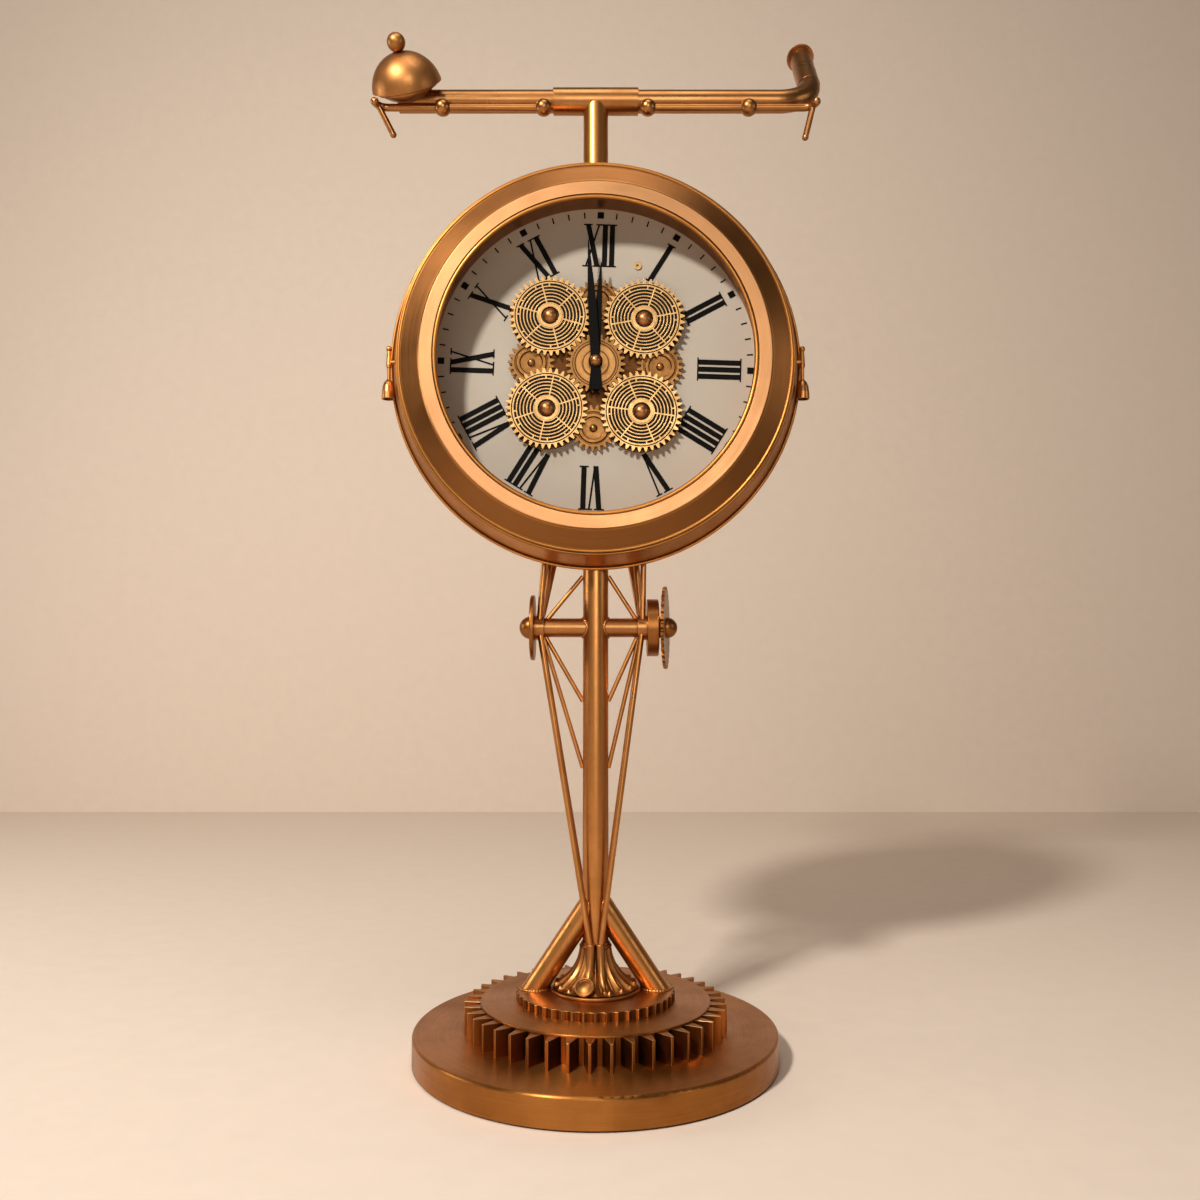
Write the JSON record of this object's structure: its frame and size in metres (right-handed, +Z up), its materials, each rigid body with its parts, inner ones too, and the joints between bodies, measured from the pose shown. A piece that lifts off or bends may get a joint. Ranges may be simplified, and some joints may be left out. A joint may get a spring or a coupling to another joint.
{
  "type": "floor clock",
  "caption": "Free-standing drum clock with exposed turning wheels, on a bicycle-style pole stand with a gear-shaped base, a handlebar top and a bell.",
  "frame": {"origin": "on the floor, under the pole's axis: the middle of the felt's resting face", "axes": "+Z up along the pole, -Y the way the dial faces, +X to the right seen from the front"},
  "size_m": [0.4941, 0.37, 1.1121],
  "materials": {
    "base_copper": "brushed antique copper, satin lacquer",
    "cast_copper": "cast, antique copper with dark hollows",
    "tube_copper": "satin antique copper",
    "drum_copper": "spun sheet, brushed antique copper",
    "bell_copper": "satin antique copper",
    "wheel_brass": "brushed brass",
    "post_copper": "dark bronze, polished",
    "dial_paint": "matt warm grey",
    "black_paint": "matt black",
    "black_plastic": "moulded black",
    "steel": "zinc plated",
    "cell_wrap": "printed wrap left plain",
    "felt": "pressed felt"
  },
  "bodies": {
    "clock": {"floor_felt": "felt", "base_plate": "base_copper", "base_gear": "base_copper", "cover_disc": "base_copper", "fluted_disc": "base_copper", "base_bolt": "steel", "cast_foot": "cast_copper", "pole": "tube_copper", "strut_left": "tube_copper", "strut_right": "tube_copper", "cross_tube": "tube_copper", "truss_rods_left": "tube_copper", "truss_rods_right": "tube_copper", "end_disc": "tube_copper", "hub_drum": "tube_copper", "chainring": "tube_copper", "axle_nuts": "tube_copper", "case_shell": "drum_copper", "bezel": "drum_copper", "dial": "dial_paint", "dial_marks": "black_paint", "numerals": "black_paint", "dial_eyelet": "wheel_brass", "wheel_plate": "wheel_brass", "wheel_posts": "post_copper", "movement": "black_plastic", "gear_drive": "black_plastic", "batteries": "cell_wrap", "rear_cover": "drum_copper", "rear_screws": "steel", "stem": "tube_copper", "handlebar_tee": "tube_copper", "handlebar": "tube_copper", "grip_flange": "tube_copper", "ball_clips": "tube_copper", "bell_base": "bell_copper", "bell_dome": "bell_copper", "side_horn_left": "drum_copper", "side_horn_right": "drum_copper"},
    "minute": {"minute_hand": "black_paint", "hand_cap": "post_copper"},
    "hour": {"hour_hand": "black_paint"},
    "set_wheel": {"set_wheel": "black_plastic"},
    "centre_wheel": {"centre_wheel": "wheel_brass"},
    "corner_wheel_1": {"corner_wheel_1": "wheel_brass"},
    "corner_wheel_2": {"corner_wheel_2": "wheel_brass"},
    "corner_wheel_3": {"corner_wheel_3": "wheel_brass"},
    "corner_wheel_4": {"corner_wheel_4": "wheel_brass"},
    "idler_1": {"idler_1": "wheel_brass"},
    "idler_2": {"idler_2": "wheel_brass"},
    "idler_3": {"idler_3": "wheel_brass"},
    "idler_4": {"idler_4": "wheel_brass"},
    "brake_lever_left": {"brake_lever_left": "tube_copper"},
    "brake_lever_right": {"brake_lever_right": "tube_copper"},
    "bell_knob": {"bell_knob": "bell_copper"}
  },
  "joints": [
    {"name": "minute_turn", "type": "hinge", "parent": "clock", "child": "minute", "pos_m": [0, -0.03, 0.7125], "axis": [0, 1, 0], "continuous": true},
    {"name": "hour_turn", "type": "hinge", "parent": "clock", "child": "hour", "pos_m": [0, -0.03, 0.7125], "axis": [0, 1, 0], "continuous": true},
    {"name": "set_turn", "type": "hinge", "parent": "clock", "child": "set_wheel", "pos_m": [0, 0.004, 0.7265], "axis": [0, 1, 0], "continuous": true},
    {"name": "centre_turn", "type": "hinge", "parent": "clock", "child": "centre_wheel", "pos_m": [0, -0.02, 0.7125], "axis": [0, 1, 0], "continuous": true},
    {"name": "corner_1_turn", "type": "hinge", "parent": "clock", "child": "corner_wheel_1", "pos_m": [0.05102, -0.02, 0.76024], "axis": [0, 1, 0], "continuous": true},
    {"name": "corner_2_turn", "type": "hinge", "parent": "clock", "child": "corner_wheel_2", "pos_m": [-0.04774, -0.02, 0.76352], "axis": [0, 1, 0], "continuous": true},
    {"name": "corner_3_turn", "type": "hinge", "parent": "clock", "child": "corner_wheel_3", "pos_m": [-0.05102, -0.02, 0.66476], "axis": [0, 1, 0], "continuous": true},
    {"name": "corner_4_turn", "type": "hinge", "parent": "clock", "child": "corner_wheel_4", "pos_m": [0.04774, -0.02, 0.66148], "axis": [0, 1, 0], "continuous": true},
    {"name": "idler_1_turn", "type": "hinge", "parent": "clock", "child": "idler_1", "pos_m": [0.06763, -0.02, 0.71026], "axis": [0, 1, 0], "continuous": true},
    {"name": "idler_2_turn", "type": "hinge", "parent": "clock", "child": "idler_2", "pos_m": [0.00224, -0.02, 0.78013], "axis": [0, 1, 0], "continuous": true},
    {"name": "idler_3_turn", "type": "hinge", "parent": "clock", "child": "idler_3", "pos_m": [-0.06763, -0.02, 0.71474], "axis": [0, 1, 0], "continuous": true},
    {"name": "idler_4_turn", "type": "hinge", "parent": "clock", "child": "idler_4", "pos_m": [-0.00224, -0.02, 0.64487], "axis": [0, 1, 0], "continuous": true},
    {"name": "brake_left_turn", "type": "hinge", "parent": "clock", "child": "brake_lever_left", "pos_m": [-0.11, -0.0145, 0.9957], "axis": [1, 0, 0], "range_deg": [-10, 25]},
    {"name": "brake_right_turn", "type": "hinge", "parent": "clock", "child": "brake_lever_right", "pos_m": [0.11, -0.0145, 0.9957], "axis": [1, 0, 0], "range_deg": [-10, 25]},
    {"name": "knob_press", "type": "slide", "parent": "clock", "child": "bell_knob", "axis": [0.1545, 0.6691, -0.7269], "range_m": [0, 0.002], "stiffness_N_per_m": 400, "springref_m": -0.003}
  ],
  "couplings": [
    {"joint": "hour_turn", "follows": "minute_turn", "ratio": 0.083333},
    {"joint": "set_turn", "follows": "minute_turn", "ratio": -0.33333},
    {"joint": "corner_1_turn", "follows": "centre_turn", "ratio": -0.71053},
    {"joint": "corner_2_turn", "follows": "centre_turn", "ratio": -0.71053},
    {"joint": "corner_3_turn", "follows": "centre_turn", "ratio": -0.71053},
    {"joint": "corner_4_turn", "follows": "centre_turn", "ratio": -0.71053},
    {"joint": "idler_1_turn", "follows": "centre_turn", "ratio": 0.94737},
    {"joint": "idler_2_turn", "follows": "centre_turn", "ratio": 0.94737},
    {"joint": "idler_3_turn", "follows": "centre_turn", "ratio": 0.94737},
    {"joint": "idler_4_turn", "follows": "centre_turn", "ratio": 0.94737}
  ]
}
